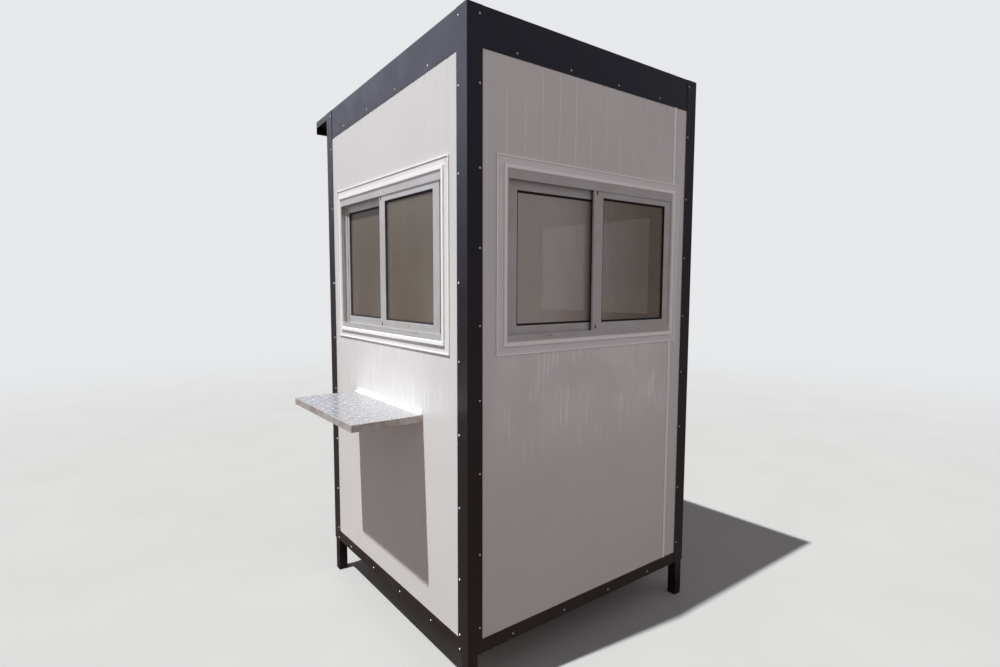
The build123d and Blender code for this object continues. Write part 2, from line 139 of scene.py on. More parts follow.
def maths(tree, operation, first, second=0.0, clamp=False):
    node = addNode(tree, "ShaderNodeMath", operation=operation, use_clamp=clamp)
    for socket, value in zip(node.inputs, (first, second)):
        feed(tree, socket, value)
    return node.outputs[0]


def product(tree, first, *others):
    for other in others:
        first = maths(tree, "MULTIPLY", first, other)
    return first


def away(tree, value, centre):    # how far a value is from a centre
    return maths(tree, "ABSOLUTE", maths(tree, "SUBTRACT", value, centre))


def spread(tree, value, low, high, toLow=0.0, toHigh=1.0, smooth=True):
    node = addNode(tree, "ShaderNodeMapRange", clamp=True,
                   interpolation_type="SMOOTHSTEP" if smooth else "LINEAR")
    feedAll(tree, node, {"Value": value, "From Min": low, "From Max": high,
                         "To Min": toLow, "To Max": toHigh})
    return node.outputs[0]


def around(tree, noise, centre, less, more):    # a roughness that wanders about its own value
    return spread(tree, noise, 0.3, 0.7, centre - less, centre + more)


def position(tree, stretch=(1, 1, 1)):    # metres in the booth's own frame, stretched
    coords = addNode(tree, "ShaderNodeTexCoord")
    mapping = addNode(tree, "ShaderNodeMapping")
    feedAll(tree, mapping, {"Vector": coords.outputs["Object"], "Scale": stretch})
    return mapping.outputs["Vector"]


def noiseField(tree, scale, detail=4, roughness=0.55, stretch=(1, 1, 1), distortion=0.0):
    field = addNode(tree, "ShaderNodeTexNoise")
    feedAll(tree, field, {"Vector": position(tree, stretch), "Scale": scale, "Detail": detail,
                          "Roughness": roughness, "Distortion": distortion})
    return field.outputs["Fac"]


def stripes(tree, along, height, stretch, detail):    # noise drawn out into upright stripes
    coords = addNode(tree, "ShaderNodeCombineXYZ")
    feedAll(tree, coords, {"X": product(tree, along, stretch[0]),
                           "Z": product(tree, height, stretch[1])})
    field = addNode(tree, "ShaderNodeTexNoise")
    feedAll(tree, field, {"Vector": coords.outputs[0], "Scale": 1.0, "Detail": detail})
    return field.outputs["Fac"]


def mixColour(tree, amount, first, second):
    node = addNode(tree, "ShaderNodeMix", data_type="RGBA")
    for index, value in ((0, amount), (6, first), (7, second)):    # its factor and two colours
        feed(tree, node.inputs[index], value)
    return node.outputs[2]


def mixShader(tree, amount, first, second):
    node = addNode(tree, "ShaderNodeMixShader")
    for socket, value in zip(node.inputs, (amount, first, second)):
        feed(tree, socket, value)
    return node.outputs[0]


def bump(tree, height, distance, strength=1.0, under=None):
    node = addNode(tree, "ShaderNodeBump")
    feedAll(tree, node, {"Height": height, "Distance": distance, "Strength": strength})
    if under is not None:
        feed(tree, node.inputs["Normal"], under)
    return node.outputs["Normal"]


def splitVector(tree, vector):
    split = addNode(tree, "ShaderNodeSeparateXYZ")
    feed(tree, split.inputs[0], vector)
    return split.outputs


def axes(tree):    # position split into x, y and z
    return splitVector(tree, position(tree))


def normalAxes(tree):    # which way a surface faces, as lengths along x, y and z
    coords = addNode(tree, "ShaderNodeTexCoord")
    lengths = addNode(tree, "ShaderNodeVectorMath", operation="ABSOLUTE")
    feed(tree, lengths.inputs[0], coords.outputs["Normal"])
    return splitVector(tree, lengths.outputs[0])


def facingUp(tree):    # 1 on level tops, 0 on walls and -1 on undersides
    return splitVector(tree, addNode(tree, "ShaderNodeNewGeometry").outputs["Normal"])[2]


def alongWall(tree):    # distance along a wall, whichever way the wall faces
    x, y = axes(tree)[:2]
    sideWall = maths(tree, "GREATER_THAN", normalAxes(tree)[0], 0.7)
    return maths(tree, "ADD", product(tree, sideWall, y),
                 product(tree, maths(tree, "SUBTRACT", 1.0, sideWall), x))


def byWall(tree, front, side):    # one value on the front and back walls, another on the side walls
    return spread(tree, normalAxes(tree)[0], 0.3, 0.7, front, side)


def rayKinds(tree):    # 1 where the camera looks, straight or through glass, and in reflections
    path = addNode(tree, "ShaderNodeLightPath").outputs
    direct = maths(tree, "MAXIMUM", path["Is Camera Ray"], path["Is Transmission Ray"])
    return direct, path["Is Glossy Ray"]


# Wall panels

panelLook = {
    "paint": colour(0.670, 0.662, 0.662),
    "secondTone": colour(0.640, 0.634, 0.636),      # in broad clouds
    # cleaner paint, and also the colour of painted light: the broad patch below the windows and the
    # rib crest highlights
    "washed": colour(0.88, 0.86, 0.86),
    "grime": colour(0.50, 0.44, 0.36),
    "roughness": 0.34,
    "grimeRoughness": 0.4,      # how much the dirt adds
    "fineRibPitch": 0.0154,     # between the rolled grooves
    "fineRibHeight": 0.00034,
    "fineRibFront": 0.6,        # share of their depth on the front and back walls
    "lineRibPitch": 0.080,      # narrow ribs that catch the light high on the side walls
    "lineRibWidth": 0.0050,
    "lineRibHeight": 0.0004,
    "lineRibHighlight": 0.75,       # strength of the painted highlight on their crests
    "lineRibFront": 0.2,        # share of them on the front and back walls
    "lineRibFade": (1.10, 1.75),      # they come up between these heights above the underside
    "streakAmount": 0.20,
    "streakStretch": (38.0, 1.3),     # noise along the wall and up it
    "splashHeight": 0.34,       # dried splashes above the underside of the cabin
    "splashAmount": 0.55,
    "splashHaze": 0.34,         # share of haze between the specks
    "shadeFilmHeight": 0.95,         # darker below this height: a thin film of dust, and painted shade low on the walls
    "shadeFilmAmount": 0.13,
    "runStretch": (95.0, 4.5),
    "runLength": 0.46,          # below the windows
    "runReach": 0.52,           # from the middle of the wall
    "runFade": 0.08,
    "runsFront": 0.40,
    "runsRight": 1.0,
}


def wallDirtAndShade(tree, along, z):
    look = panelLook
    # rain streaks: narrow along the wall, long down it
    streaks = stripes(tree, along, z, look["streakStretch"], 5)
    streaks = product(tree, spread(tree, streaks, 0.54, 0.80),
                      spread(tree, noiseField(tree, 2.1, 2), 0.40, 0.66), look["streakAmount"])
    # splashes thrown up from the ground, densest low down
    height = maths(tree, "SUBTRACT", z, cabinZ)
    rise = spread(tree, height, 0.0, look["splashHeight"], 1.0, 0.0)
    specks = spread(tree, noiseField(tree, 150, 3, 0.7), 0.60, 0.72)
    haze = spread(tree, noiseField(tree, 9, 5), 0.35, 0.75)
    spots = maths(tree, "MAXIMUM", specks, product(tree, haze, look["splashHaze"]))
    # darker towards the bottom: a dust film that is also painted shade
    filmAndPaintedLight = spread(tree, height, 0.0, look["shadeFilmHeight"], look["shadeFilmAmount"], 0.0)
    splashAndShade = maths(tree, "ADD", product(tree, rise, rise, spots, look["splashAmount"]), filmAndPaintedLight)
    return maths(tree, "MAXIMUM", streaks, splashAndShade, clamp=True)


def washedRunsAndPaintedLight(tree, along, spot):
    # below the windows, runs washed cleaner than the rest, in patches, over a broad lighter patch
    # that is painted light
    look = panelLook
    x, y, z = spot
    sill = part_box("right_window_trim")[0].z
    reach, length = look["runReach"], look["runLength"]
    fromCentre = maths(tree, "MINIMUM", away(tree, x, middle.x), away(tree, y, middle.y))
    windowWall = maths(tree, "GREATER_THAN", x, leftX + 0.1)
    below = product(tree, windowWall,
                    spread(tree, fromCentre, reach - look["runFade"], reach, 1.0, 0.0),
                    spread(tree, z, sill - length, sill - length * 0.3),
                    spread(tree, z, sill, sill + 0.01, 1.0, 0.0))
    runs = spread(tree, stripes(tree, along, z, look["runStretch"], 3), 0.50, 0.64)
    patches = spread(tree, noiseField(tree, 4.2, 2), 0.38, 0.58)
    paintedLightPatch = spread(tree, noiseField(tree, 3.0, 3), 0.36, 0.62, 0.10, 0.48)
    washed = maths(tree, "ADD", product(tree, below, runs, patches),
                   product(tree, below, paintedLightPatch), clamp=True)
    # they show best on the right wall
    return product(tree, washed, byWall(tree, look["runsFront"], look["runsRight"]))


def lineRibs(tree, along, z):
    # one of them is half a pitch from the middle of the side walls
    look = panelLook
    pitch, width = look["lineRibPitch"], look["lineRibWidth"]
    fadeLow, fadeHigh = look["lineRibFade"]
    turns = maths(tree, "DIVIDE", maths(tree, "SUBTRACT", along, middle.y), pitch)
    offCrest = away(tree, maths(tree, "FRACT", turns), 0.5)
    return product(tree, spread(tree, offCrest, 0.1 * width / pitch, 0.5 * width / pitch, 1.0, 0.0),
                   spread(tree, z, cabinZ + fadeLow, cabinZ + fadeHigh, 0.10, 1.0),
                   byWall(tree, look["lineRibFront"], 1.0),
                   spread(tree, noiseField(tree, 3.4, 2), 0.38, 0.60, 0.45, 1.0),
                   spread(tree, along, middle.y - 0.15, middle.y + 0.25, 1.0, 0.35))


def panelPaint():
    look = panelLook
    material, tree, shader = newMaterial("panelPaint")
    spot = axes(tree)
    along = alongWall(tree)
    dirtAndShade = wallDirtAndShade(tree, along, spot[2])
    crestAndHighlight = lineRibs(tree, along, spot[2])
    tone = mixColour(tree, spread(tree, noiseField(tree, 1.4, 3), 0.3, 0.7),
                     look["paint"], look["secondTone"])
    # washed runs and a painted light patch below the windows
    tone = mixColour(tree, washedRunsAndPaintedLight(tree, along, spot), tone, look["washed"])
    # painted highlight: the rib crests are lighter
    tone = mixColour(tree, product(tree, crestAndHighlight, look["lineRibHighlight"]), tone, look["washed"])
    # the fine ribs are rolled deeper in some patches than in others
    waves = maths(tree, "SINE", product(tree, along, 2 * math.pi / look["fineRibPitch"]))
    patches = spread(tree, noiseField(tree, 2.6, 3, 0.6, (1, 1, 0.6)), 0.40, 0.66, 0.06, 1.0)
    fineRibs = product(tree, spread(tree, waves, 0.35, 1.0), patches,
                       byWall(tree, look["fineRibFront"], 1.0))
    ripple = bump(tree, noiseField(tree, 2.4, 2, stretch=(1, 1, 0.5)), 0.006, 0.22)
    ridge = bump(tree, crestAndHighlight, look["lineRibHeight"], 1.0, ripple)
    feedAll(tree, shader, {
        "Base Color": mixColour(tree, dirtAndShade, tone, look["grime"]),
        "Roughness": maths(tree, "ADD", product(tree, dirtAndShade, look["grimeRoughness"]),
                           around(tree, noiseField(tree, 5, 4), look["roughness"], 0.05, 0.06)),
        "Normal": bump(tree, fineRibs, look["fineRibHeight"], 1.0, ridge),
    })
    return material


# Black sheet and tube

frameLook = {
    "paint": colour(0.0040, 0.0042, 0.0125),
    "secondTone": colour(0.0070, 0.0066, 0.0130),      # in clouds
    "paintLowDustAndReflection": colour(0.0078, 0.0052, 0.0048),        # dulled by dust from the ground, and browner as a painted reflection of the ground
    "dust": colour(0.046, 0.030, 0.024),
    "rust": colour(0.19, 0.065, 0.022),
    "sheen": colour(0.90, 0.87, 1.0),
    "lowToneFade": (0.7, 1.9),    # heights between which the dusty, browner low tone gives way to the paint
    "roughness": 0.36,
    "dustRoughness": 0.4,       # how much the dust adds
    "dustHeight": 0.42,
    "dustLow": 0.62,            # at the ground
    "dustSettled": 0.5,         # on level tops
    "chipHeight": 0.24,         # chipped to the rust below this height
}


def framePaint():
    look = frameLook
    material, tree, shader = newMaterial("framePaint")
    z = axes(tree)[2]
    settled = spread(tree, facingUp(tree), 0.4, 0.95, 0.0, look["dustSettled"])
    low = spread(tree, z, 0.0, look["dustHeight"], look["dustLow"], 0.0)
    cloud = spread(tree, noiseField(tree, 7, 6, 0.62), 0.38, 0.72)
    specks = spread(tree, noiseField(tree, 260, 2, 0.6), 0.68, 0.76, 0.0, 0.40)
    dust = maths(tree, "ADD", product(tree, maths(tree, "MAXIMUM", low, settled), cloud),
                 product(tree, specks, spread(tree, z, 0.1, 1.0, 0.7, 0.14)), clamp=True)
    chips = product(tree, spread(tree, noiseField(tree, 42, 5, 0.7), 0.70, 0.76),
                    spread(tree, z, 0.02, look["chipHeight"], 1.0, 0.0))
    painted = mixColour(tree, spread(tree, noiseField(tree, 3, 4), 0.3, 0.7),
                        look["paint"], look["secondTone"])
    # browner towards the bottom: dust, and a painted reflection of the brown ground
    painted = mixColour(tree, spread(tree, z, *look["lowToneFade"]), look["paintLowDustAndReflection"], painted)
    dusty = mixColour(tree, dust, painted, look["dust"])
    waves = bump(tree, noiseField(tree, 3.2, 2, stretch=(1, 1, 0.6)), 0.004, 0.35)
    feedAll(tree, shader, {
        "Base Color": mixColour(tree, chips, dusty, look["rust"]),
        "Roughness": maths(tree, "ADD", product(tree, dust, look["dustRoughness"]),
                           around(tree, noiseField(tree, 12, 5), look["roughness"], 0.06, 0.08),
                           clamp=True),
        "Specular IOR Level": 0.95,
        "Specular Tint": look["sheen"],
        "Coat Weight": 0.35,
        "Coat Roughness": 0.30,
        "Normal": bump(tree, noiseField(tree, 900, 2), 0.00012, 0.5, waves),
    })
    return material


# White trims

trimLook = {
    "paint": colour(0.90, 0.90, 0.895),
    "filmAndPaintedLight": colour(0.742, 0.730, 0.735),      # painted shade: the flat bands between the raised edges are darker
    "shadedFlatDepth": 0.003,                       # out from the wall
    "shadedFlatEdge": 0.0007,
    "grime": colour(0.52, 0.49, 0.44),
    "grimeAmount": 0.34,
    "roughness": 0.34,
}


def trimPaint():
    look = trimLook
    material, tree, shader = newMaterial("trimPaint")
    smudge = product(tree, spread(tree, noiseField(tree, 26, 5, 0.65), 0.50, 0.80),
                     spread(tree, noiseField(tree, 3.2, 2), 0.40, 0.70), look["grimeAmount"])
    x, y = axes(tree)[:2]
    fromMiddle = maths(tree, "MAXIMUM", away(tree, x, middle.x), away(tree, y, middle.y))
    proud = maths(tree, "SUBTRACT", fromMiddle, halfPlan - 2 * sheetStep)
    raised = spread(tree, proud, look["shadedFlatDepth"] - look["shadedFlatEdge"], look["shadedFlatDepth"])
    # painted shade on the flat bands below the raised lip and bead
    shadedFlats = mixColour(tree, raised, look["filmAndPaintedLight"], look["paint"])
    feedAll(tree, shader, {
        "Base Color": mixColour(tree, smudge, shadedFlats, look["grime"]),
        "Roughness": around(tree, noiseField(tree, 30, 3), look["roughness"], 0.06, 0.08),
        "Normal": bump(tree, noiseField(tree, 320, 2), 0.0001, 0.4),
    })
    return material


# Bare metals: the grain is drawn out along the axis where its number is small

metalLooks = {
    "aluminium": {
        "base": colour(0.66, 0.665, 0.685),
        "dull": colour(0.63, 0.595, 0.575),
        "stain": colour(0.30, 0.22, 0.17),
        "roughness": 0.38,
        "metallic": 0.40,
        "grain": (220, 220, 14),
    },
    "satinSteel": {
        "base": colour(0.58, 0.575, 0.57),
        "dull": colour(0.50, 0.50, 0.50),
        "roughness": 0.28,
        "metallic": 1.0,
        "grain": (60, 60, 400),
    },
    "rivetMetal": {
        "base": colour(0.80, 0.80, 0.81),
        "dull": colour(0.70, 0.70, 0.70),
        "roughness": 0.34,
        "metallic": 0.40,
        "grain": (500, 500, 500),
    },
    "screwMetal": {
        "base": colour(0.62, 0.61, 0.59),
        "dull": colour(0.45, 0.43, 0.41),
        "roughness": 0.32,
        "metallic": 1.0,
        "grain": (400, 400, 400),
    },
}


def brushedMetal(name):    # fine grain, with duller patches
    look = metalLooks[name]
    material, tree, shader = newMaterial(name)
    grain = noiseField(tree, 1.0, 3, 0.6, look["grain"])
    patch = spread(tree, noiseField(tree, 9, 3, 0.5), 0.35, 0.75)
    surface = mixColour(tree, patch, look["base"], look["dull"])
    if "stain" in look:      # smudges that gather in places
        smudge = product(tree, spread(tree, noiseField(tree, 70, 4, 0.7), 0.58, 0.72),
                         spread(tree, noiseField(tree, 6, 2), 0.42, 0.62, 0.0, 0.7))
        surface = mixColour(tree, smudge, surface, look["stain"])
    feedAll(tree, shader, {
        "Base Color": surface,
        "Metallic": look["metallic"],
        "Roughness": maths(tree, "ADD", around(tree, grain, look["roughness"], 0.07, 0.07),
                           product(tree, patch, 0.05), clamp=True),
        "Normal": bump(tree, grain, 0.00006, 0.3),
    })
    return material


# Glass

glassLook = {
    "tint": colour(0.212, 0.178, 0.145),
    "dust": colour(0.68, 0.645, 0.61),
    "dustAmount": 0.16,
    "sideDustAndReflection": (0.95, 0.04),      # dust and a painted reflection on the right window, from the near corner to the far one
    "sideReach": (-0.40, 0.30),    # where it starts and ends, from the middle of the wall
    "alpha": 0.57,
    "roughness": 0.045,
}


def tintedGlass():
    look = glassLook
    material, tree, shader = newMaterial("tintedGlass")
    wash = spread(tree, noiseField(tree, 3.5, 5, 0.6, (1, 1, 0.45)), 0.35, 0.75)
    dust = product(tree, wash, spread(tree, noiseField(tree, 320, 3), 0.35, 0.75, 0.65, 1.0))
    near, far = (middle.y + reach for reach in look["sideReach"])
    # the near part of the right window is paler: heavy dust and a painted reflection
    thickDustAndReflection = product(tree, maths(tree, "GREATER_THAN", normalAxes(tree)[0], 0.7),
                    spread(tree, axes(tree)[1], near, far, *look["sideDustAndReflection"]))
    filmAndPaintedLight = maths(tree, "ADD", product(tree, dust, look["dustAmount"]), thickDustAndReflection, clamp=True)
    feedAll(tree, shader, {
        "Base Color": mixColour(tree, filmAndPaintedLight, look["tint"], look["dust"]),
        "Alpha": spread(tree, dust, 0.0, 1.0, look["alpha"], look["alpha"] + 0.06),
        "Roughness": spread(tree, dust, 0.0, 1.0, look["roughness"], look["roughness"] + 0.07),
        "IOR": 1.52,
        "Coat Weight": 1.0,
        "Coat Roughness": 0.02,
        "Coat IOR": 1.7,
        "Normal": bump(tree, noiseField(tree, 4.5, 2), 0.0012, 0.2),
    })
    return material


# Plastic, rubber and sealant

plasticLooks = {
    "latchBlack": {
        "base": colour(0.016, 0.016, 0.018),
        "worn": 1.9,               # rubbed places are this many times as bright
        "roughness": 0.42,
        "grit": 500,
    },
    "rubber": {
        "base": colour(0.006, 0.006, 0.006),
        "worn": 1.9,
        "roughness": 0.66,
        "grit": 900,
    },
    "sealant": {
        "base": colour(0.74, 0.74, 0.72),
        "worn": 0.93,
        "roughness": 0.50,
        "grit": 80,
    },
}


def dullPlastic(name):
    look = plasticLooks[name]
    material, tree, shader = newMaterial(name)
    rubbed = spread(tree, noiseField(tree, 40, 4), 0.35, 0.75)
    worn = colour(*(part * look["worn"] for part in look["base"][:3]))
    feedAll(tree, shader, {
        "Base Color": mixColour(tree, rubbed, look["base"], worn),
        "Roughness": spread(tree, rubbed, 0.0, 1.0, look["roughness"], look["roughness"] + 0.15),
        "Normal": bump(tree, noiseField(tree, look["grit"], 2), 0.0001, 0.5),
    })
    return material


# Tread plate of the shelf

treadLook = {
    "base": colour(0.53, 0.525, 0.535),
    "dull": colour(0.42, 0.41, 0.41),
    "stain": colour(0.36, 0.25, 0.17),    # on the folded edges
    "roughness": 0.21,
    "foldRoughness": 0.12,                # how much the folds add
    "metallicTop": 0.68,
    "metallicFold": 0.22,
}


def treadMetal():
    look = treadLook
    material, tree, shader = newMaterial("treadMetal")
    mottle = spread(tree, noiseField(tree, 34, 5, 0.65), 0.38, 0.70)
    patch = product(tree, spread(tree, noiseField(tree, 8, 4), 0.45, 0.75), 0.35)
    surface = mixColour(tree, patch, look["base"], look["dull"])
    # the folds have lost their shine, and rusty water has dried on them
    fold = spread(tree, normalAxes(tree)[2], 0.35, 0.65, 1.0, 0.0)
    smudge = product(tree, fold, spread(tree, noiseField(tree, 26, 5, 0.7), 0.42, 0.68, 0.05, 0.72))
    sheen = spread(tree, mottle, 0.0, 1.0, look["roughness"], look["roughness"] + 0.10)
    soft = bump(tree, noiseField(tree, 22, 2), 0.0012, 0.16)
    feedAll(tree, shader, {
        "Base Color": mixColour(tree, smudge, surface, look["stain"]),
        "Metallic": spread(tree, fold, 0.0, 1.0, look["metallicTop"], look["metallicFold"]),
        "Roughness": maths(tree, "ADD", product(tree, fold, look["foldRoughness"]), sheen),
        "Normal": bump(tree, noiseField(tree, 700, 2), 0.00004, 0.4, soft),
    })
    return material


# Roof and floor

roofLook = {
    "paint": colour(0.47, 0.47, 0.46),
    "paintedShadeUnderside": colour(0.014, 0.014, 0.018),    # painted shade: near black on the undersides
    "dust": colour(0.30, 0.26, 0.21),
    "roughness": 0.42,
}


def roofPaint():
    look = roofLook
    material, tree, shader = newMaterial("roofPaint")
    washed = spread(tree, noiseField(tree, 4, 6, 0.62, (0.35, 1, 1)), 0.40, 0.72)
    fine = spread(tree, noiseField(tree, 60, 4), 0.35, 0.75)
    dust = product(tree, washed, spread(tree, fine, 0.0, 1.0, 0.25, 0.60))
    # painted shade on the faces that look down
    below = spread(tree, facingUp(tree), -0.3, 0.1, 1.0, 0.0)
    dusty = mixColour(tree, dust, look["paint"], look["dust"])
    feedAll(tree, shader, {
        "Base Color": mixColour(tree, below, dusty, look["paintedShadeUnderside"]),
        "Roughness": spread(tree, dust, 0.0, 0.6, look["roughness"], look["roughness"] + 0.3),
        "Normal": bump(tree, noiseField(tree, 5, 2), 0.002, 0.12),
    })
    return material


boardLook = {"light": colour(0.46, 0.33, 0.20), "dark": colour(0.24, 0.15, 0.085)}


def floorBoard():
    look = boardLook
    material, tree, shader = newMaterial("floorBoard")
    grain = noiseField(tree, 3.0, 8, 0.65, (1, 14, 1), 1.2)
    feedAll(tree, shader, {
        "Base Color": mixColour(tree, spread(tree, grain, 0.35, 0.70), look["light"], look["dark"]),
        "Roughness": spread(tree, grain, 0.3, 0.7, 0.42, 0.60),
        "Normal": bump(tree, grain, 0.0006, 0.4),
    })
    return material


finishes = {
    "wall_panel": panelPaint(),
    "frame_paint": framePaint(),
    "white_trim": trimPaint(),
    "roof_sheet": roofPaint(),
    "aluminium": brushedMetal("aluminium"),
    "tread_plate": treadMetal(),
    "handle_metal": brushedMetal("satinSteel"),
    "latch_black": dullPlastic("latchBlack"),
    "tinted_glass": tintedGlass(),
    "floor_board": floorBoard(),
}
rubber = dullPlastic("rubber")
sealant = dullPlastic("sealant")
rivetMetal = brushedMetal("rivetMetal")
screwMetal = brushedMetal("screwMetal")

slotOfNode = {part["node"]: part["material_slot"] for part in frame["record"]["subparts"]}
for nodeName, part in nodes.items():
    part.data.materials.clear()
    part.data.materials.append(finishes[slotOfNode[nodeName]])
print("finishes on:", len(finishes))


# Mesh helpers

bite = 0.0002      # how far small pieces reach into what carries them


def finishPiece(name, bm, material, sharpAngle=38):
    bmesh.ops.recalc_face_normals(bm, faces=bm.faces)
    mesh = bpy.data.meshes.new(name)
    bm.to_mesh(mesh)
    bm.free()
    mesh.materials.append(material)
    mesh.shade_smooth()
    mesh.set_sharp_from_angle(angle=math.radians(sharpAngle))
    piece = bpy.data.objects.new(name, mesh)
    bpy.context.scene.collection.objects.link(piece)
    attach(piece, "root")
    print("made", name, len(mesh.polygons), "faces")


def circle(radius, sides):
    turns = [2 * math.pi * step / sides for step in range(sides)]
    return [(radius * math.cos(turn), radius * math.sin(turn)) for turn in turns]


def joinLoops(bm, first, second):    # a band of faces between two closed loops of points
    for step in range(len(first)):
        after = (step + 1) % len(first)
        corners = [first[step], first[after], second[after], second[step]]
        bm.faces.new(list(dict.fromkeys(corners)))      # the tip of a turned form counts once


def turned(bm, place, profile, sides=14):
    # a profile of (radius, height) spun about the place's Z
    loops = []
    for radius, height in profile:
        if radius:
            loops.append([bm.verts.new(place @ Vector((x, y, height)))
                          for x, y in circle(radius, sides)])
        else:
            loops.append([bm.verts.new(place @ Vector((0, 0, height)))] * sides)
    for low, high in zip(loops, loops[1:]):
        joinLoops(bm, low, high)


def frameRing(bm, face, limits, profile):
    # a closed profile of (inset, out) run round a rectangle on a face
    u0, u1, v0, v1 = limits
    loops = []
    for inset, out in profile:
        corners = ((u0 + inset, v0 + inset), (u1 - inset, v0 + inset),
                   (u1 - inset, v1 - inset), (u0 + inset, v1 - inset))
        loops.append([bm.verts.new(facePlace(face, u, v, out).translation) for u, v in corners])
    for loop, other in zip(loops, loops[1:] + loops[:1]):
        joinLoops(bm, loop, other)


def extruded(bm, place, outline, length):
    # a closed outline in the place's XY, run along its Z
    start, end = [[bm.verts.new(place @ Vector((x, y, z))) for x, y in outline]
                  for z in (0, length)]
    joinLoops(bm, start, end)
    bm.faces.new(start[::-1])
    bm.faces.new(end)


def roundedOutline(width, height, radius):
    steps = 4      # to each corner
    points = []
    for cornerX, cornerY, start in ((1, 1, 0), (-1, 1, 90), (-1, -1, 180), (1, -1, 270)):
        for step in range(steps + 1):
            angle = math.radians(start + 90 * step / steps)
            points.append((cornerX * (width / 2 - radius) + radius * math.cos(angle),
                           cornerY * (height / 2 - radius) + radius * math.sin(angle)))
    return points


# Blind rivets on the black sheet

rivets = {
    "headRadius": 0.0037,
    "headHeight": 0.0015,
    # shares of the radius and the height, from the rim in to the dimple
    "headProfile": ((1, 0.18), (0.88, 0.62), (0.62, 0.93), (0.36, 1), (0.28, 0.62), (0, 0.52)),
    "edgeInset": 0.050,        # corner of the cabin to the rivets on a flashing
    "heightsRight": (0.256, 0.516, 0.798, 1.047, 1.296, 1.551, 1.806, 2.070),
    "heightsFront": (0.224, 0.424, 0.676, 0.927, 1.176, 1.437, 1.789, 2.064),
    "topDrop": 0.028,          # roof edge to the highest rivet
    "eaveCut": 0.028,          # the left flashings are cut back under the eave
    "bottomRise": 0.019,       # underside of the cabin to the lowest row
    "cornerRise": 0.013,       # and to the lowest rivet of a flashing
    "fasciaRise": 0.017,       # lower edge of the fascia to its row
    "fasciaAlong": (0.203, 0.451, 0.704, 0.954),
    "bottomAlong": (0.250, 0.502, 0.750, 1.002),
}


def rivetHead(bm, place, size=1.0):
    radius, height = rivets["headRadius"] * size, rivets["headHeight"] * size
    head = [(radius * across, height * rise) for across, rise in rivets["headProfile"]]
    turned(bm, place, [(radius, -bite)] + head)


def roofOver(face, along):    # height of the roof line above a spot on a face
    return roofHeight(facePlace(face, along, 0, 0).translation.x)


def addRivets():
    look = rivets
    bm = bmesh.new()
    for face in faces:
        heights = look["heightsRight"]
        if face in ("front", "left"):
            heights = (cabinZ + look["cornerRise"],) + look["heightsFront"]
        for side in (-1, 1):
            along = side * (halfPlan - look["edgeInset"])
            top = roofOver(face, along) - look["topDrop"]
            if face == "left":
                top -= sheetStep * 2 + look["eaveCut"]
            for height in heights + (top,):
                if height <= top:
                    rivetHead(bm, facePlace(face, along, height, 0))
        if face != "left":      # the door's threshold stands there
            for distance in look["bottomAlong"]:
                height = cabinZ + look["bottomRise"]
                rivetHead(bm, facePlace(face, halfPlan - distance, height, -sheetStep))
        for distance in look["fasciaAlong"]:
            along = distance - halfPlan
            height = roofOver(face, along) - fasciaDepth + look["fasciaRise"]
            rivetHead(bm, facePlace(face, along, height, -sheetStep))
    finishPiece("frameRivets", bm, rivetMetal)


addRivets()


# Windows: gaskets, pile strip, stile plugs, corner rivets, sealant

windowExtras = {
    "tuck": 0.0004,            # gaskets, strips and plugs start this far inside what holds them
    "paneBite": 0.008,         # glass held inside the sash
    "gasketWidth": 0.0068,
    "gasketRise": 0.0062,
    "gasketEdge": 0.0009,      # thickness at the edge on the glass
    "gasketInside": 0.0022,    # rise on the room side
    "pileThickness": 0.0012,
    "pileDepth": 0.40,         # share of the stile's edge that it covers
    "pileEnd": 0.002,          # short of the ends of the sash
    "plugSize": (0.0055, 0.015, 0.0011),
    "plugInset": 0.016,        # edge of the stile to the middle of a plug
    "plugDrop": 0.036,         # end of the sash to the middle of a plug
    "cornerRivets": 3,
    "cornerRivetSize": 0.62,       # of the frame's rivets
    "cornerRivetInset": 0.017,     # outer edge of the trim to the rivets at its corners
    "cornerRivetPitch": 0.022,
    "bandThickness": 0.002,
    "sealantSize": 0.0032,
}


def windowGaskets(face):
    look = windowExtras
    tuck, inset, edge = look["tuck"], look["paneBite"], look["gasketEdge"]
    width, rise = look["gasketWidth"], look["gasketRise"]
    bm = bmesh.new()
    for box in solidBoxes(face + "_window_panes"):
        (u0, u1), (v0, v1), (back, front) = faceBox(face, box)
        opening = (u0 + inset, u1 - inset, v0 + inset, v1 - inset)
        frameRing(bm, face, opening, [(-tuck, front), (width, front), (width, front + edge),
                                      (width * 0.55, front + rise * 0.72), (-tuck, front + rise)])
        frameRing(bm, face, opening, [(-tuck, back), (width, back), (width, back - edge),
                                      (-tuck, back - look["gasketInside"])])
    finishPiece(face + "WindowGaskets", bm, rubber)


def windowPile(face):
    # brush strip down the outer sash's free edge, and the plugs at the ends of its stile
    look = windowExtras
    tuck, thickDustAndReflection, end = look["tuck"], look["pileThickness"], look["pileEnd"]
    bm = bmesh.new()
    sashes = [faceBox(face, box) for box in solidBoxes(face + "_window_sashes")]
    (edge, _), (v0, v1), (back, front) = max(sashes, key=lambda sash: sash[2][1])
    depth = (front - back) * look["pileDepth"]
    _, right, outward = faces[face]
    standing = Matrix((right, outward, up)).transposed().to_4x4()      # its Z runs up the stile
    standing.translation = facePlace(face, edge, v0 + end, back).translation
    brush = [(0, tuck), (0, depth), (-thickDustAndReflection, depth - 0.0008), (-thickDustAndReflection * 0.6, depth * 0.5),
             (-thickDustAndReflection, 0.0012)]
    extruded(bm, standing, brush, v1 - v0 - 2 * end)
    width, height, rise = look["plugSize"]
    for level in (v0 + look["plugDrop"], v1 - look["plugDrop"]):
        place = facePlace(face, edge + look["plugInset"], level, front - tuck)
        extruded(bm, place, roundedOutline(width, height, width * 0.4), rise)
    finishPiece(face + "WindowPile", bm, rubber)


